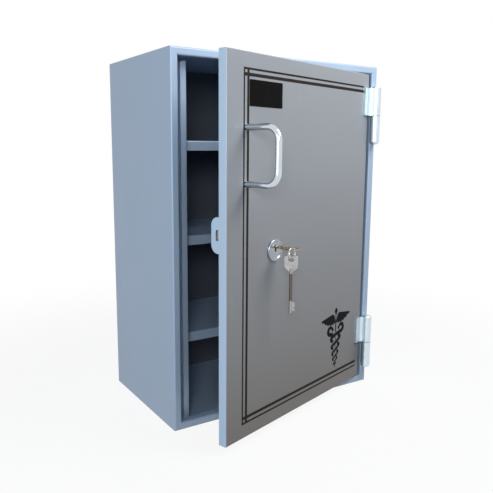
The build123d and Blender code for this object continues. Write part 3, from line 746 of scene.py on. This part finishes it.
# The spare's shank between the bit and the collar is painted dark brown: painted shade on the
# nickel
SHANK_SHADE_STOPS = ((0.2255, 0), (0.2265, 1), (0.2675, 1), (0.2685, 0))
SHANK_SHADE_COLOUR = (0.135, 0.112, 0.085, 1)
tint_along(worn_and_shaded_nickel, (0, 0, 1), SHANK_SHADE_STOPS, SHANK_SHADE_COLOUR)
nickel = plate("nickel", (0.66, 0.65, 0.63, 1), (0.50, 0.48, 0.45, 1), 0.2)
dress(warm_nickel, "key")
dress(worn_and_shaded_nickel, "spare_key")
dress(nickel, "split_ring")

# ---------------------------------------------------------------------------------------------
# Studio: a white floor that keeps the object's shadow, a white room that only the camera and
# reflections see, and soft lamps: a cool window at the left, a ceiling, a cool front and one
# behind for the back.

FLOOR_PAPER = (1, 1, 1, 1)
FLOOR_BOUNCE = (0.12, 0.12, 0.125, 1)
SHADOW_SHARE = 0.10
SHADOW_NEAR, SHADOW_FAR = 0.35, 1.1
FLOOR_HALF = 9
ROOM_TINT = (0.82, 0.88, 1.0, 1)
ROOM_STRENGTH = 0.09

floor_mesh = bmesh.new()
bmesh.ops.create_grid(floor_mesh, x_segments=1, y_segments=1, size=FLOOR_HALF)
floor_data = bpy.data.meshes.new("floor")
floor_mesh.to_mesh(floor_data)
floor_mesh.free()
floor = bpy.data.objects.new("floor", floor_data)
scene.collection.objects.link(floor)


def seen_white(tree):
    """A value of 1 for camera, glossy and transmission rays, which show the white room."""
    ray = tree.nodes.new("ShaderNodeLightPath")
    either = tree.nodes.new("ShaderNodeMath")
    either.operation = "MAXIMUM"
    both = tree.nodes.new("ShaderNodeMath")
    both.operation = "MAXIMUM"
    tree.links.new(ray.outputs["Is Camera Ray"], either.inputs[0])
    tree.links.new(ray.outputs["Is Glossy Ray"], either.inputs[1])
    tree.links.new(either.outputs["Value"], both.inputs[0])
    tree.links.new(ray.outputs["Is Transmission Ray"], both.inputs[1])
    return both.outputs["Value"]


floor_paper = bpy.data.materials.new("floor_paper")
floor_paper.use_nodes = True
paper = floor_paper.node_tree
paper.nodes.remove(paper.nodes["Principled BSDF"])
bounce = paper.nodes.new("ShaderNodeBsdfDiffuse")
bounce.inputs["Color"].default_value = FLOOR_BOUNCE
sheet = paper.nodes.new("ShaderNodeBsdfDiffuse")
sheet.inputs["Color"].default_value = FLOOR_PAPER
glow = paper.nodes.new("ShaderNodeEmission")
glow.inputs["Strength"].default_value = 1
spot = paper.nodes.new("ShaderNodeTexCoord")
reach = paper.nodes.new("ShaderNodeVectorMath")
reach.operation = "LENGTH"
fade = paper.nodes.new("ShaderNodeMapRange")
fade.interpolation_type = "SMOOTHSTEP"
fade.inputs["From Min"].default_value = SHADOW_NEAR
fade.inputs["From Max"].default_value = SHADOW_FAR
fade.inputs["To Min"].default_value = 1 - SHADOW_SHARE
fade.inputs["To Max"].default_value = 1
lit = paper.nodes.new("ShaderNodeMixShader")
final = paper.nodes.new("ShaderNodeMixShader")
paper.links.new(spot.outputs["Object"], reach.inputs[0])
paper.links.new(reach.outputs["Value"], fade.inputs["Value"])
paper.links.new(fade.outputs["Result"], lit.inputs["Fac"])
paper.links.new(sheet.outputs["BSDF"], lit.inputs[1])
paper.links.new(glow.outputs["Emission"], lit.inputs[2])
paper.links.new(seen_white(paper), final.inputs["Fac"])
paper.links.new(bounce.outputs["BSDF"], final.inputs[1])
paper.links.new(lit.outputs["Shader"], final.inputs[2])
paper.links.new(final.outputs["Shader"], paper.nodes["Material Output"].inputs["Surface"])
floor_data.materials.append(floor_paper)

world = bpy.data.worlds.new("studio")
scene.world = world
world.use_nodes = True
sky = world.node_tree
sky_dim = sky.nodes["Background"]
sky_dim.inputs["Color"].default_value = ROOM_TINT
sky_dim.inputs["Strength"].default_value = ROOM_STRENGTH
sky_white = sky.nodes.new("ShaderNodeBackground")
sky_white.inputs["Color"].default_value = (1, 1, 1, 1)
sky_mix = sky.nodes.new("ShaderNodeMixShader")
sky.links.new(seen_white(sky), sky_mix.inputs["Fac"])
sky.links.new(sky_dim.outputs["Background"], sky_mix.inputs[1])
sky.links.new(sky_white.outputs["Background"], sky_mix.inputs[2])
sky.links.new(sky_mix.outputs["Shader"], sky.nodes["World Output"].inputs["Surface"])

# Each lamp: its place, its aim, its width, its power and its colour
LAMPS = {
    "window_left": ((-2.2, -1.0, 0.55), (0, 0, 0.3), 0.9, 15, (0.77, 0.89, 1.0)),
    "front_left": ((-1.0, -1.5, 0.80), (0, -0.1, 0.3), 0.4, 8.4, (0.90, 0.95, 1.0)),
    "ceiling": ((0.35, -0.70, 1.15), (0, -0.15, 0.55), 0.5, 7.8, (0.955, 0.975, 0.99)),
    "behind": ((1.0, 2.3, 1.0), (0, 0.1, 0.3), 1.0, 18, (0.95, 0.97, 1.0)),
}
for name, (place, aim, size, power, colour) in LAMPS.items():
    data = bpy.data.lights.new(name, "AREA")
    data.shape = "SQUARE"
    data.size = size
    data.energy = power
    data.color = colour
    lamp = bpy.data.objects.new(name, data)
    lamp.location = place
    lamp.rotation_euler = (Vector(aim) - Vector(place)).to_track_quat("-Z", "Y").to_euler()
    scene.collection.objects.link(lamp)

# The camera stands where the photograph was taken from, turned by its right and up axes.
CAMERA_PLACE = (-0.59994, -0.94376, 0.45550)
CAMERA_RIGHT = (0.84153828, -0.54014953, 0.00719828)
CAMERA_UP = (0.08332536, 0.14296139, 0.98621444)
CAMERA_LENS = 43.48
CAMERA_SENSOR = 36

camera_data = bpy.data.cameras.new("camera")
camera_data.lens = CAMERA_LENS
camera_data.sensor_width = CAMERA_SENSOR
camera = bpy.data.objects.new("camera", camera_data)
right = Vector(CAMERA_RIGHT)
up = Vector(CAMERA_UP)
camera.matrix_world = Matrix.Translation(CAMERA_PLACE) @ Matrix(
    (right, up, right.cross(up))
).transposed().to_4x4()
scene.collection.objects.link(camera)
scene.camera = camera
scene.view_settings.view_transform = "Standard"
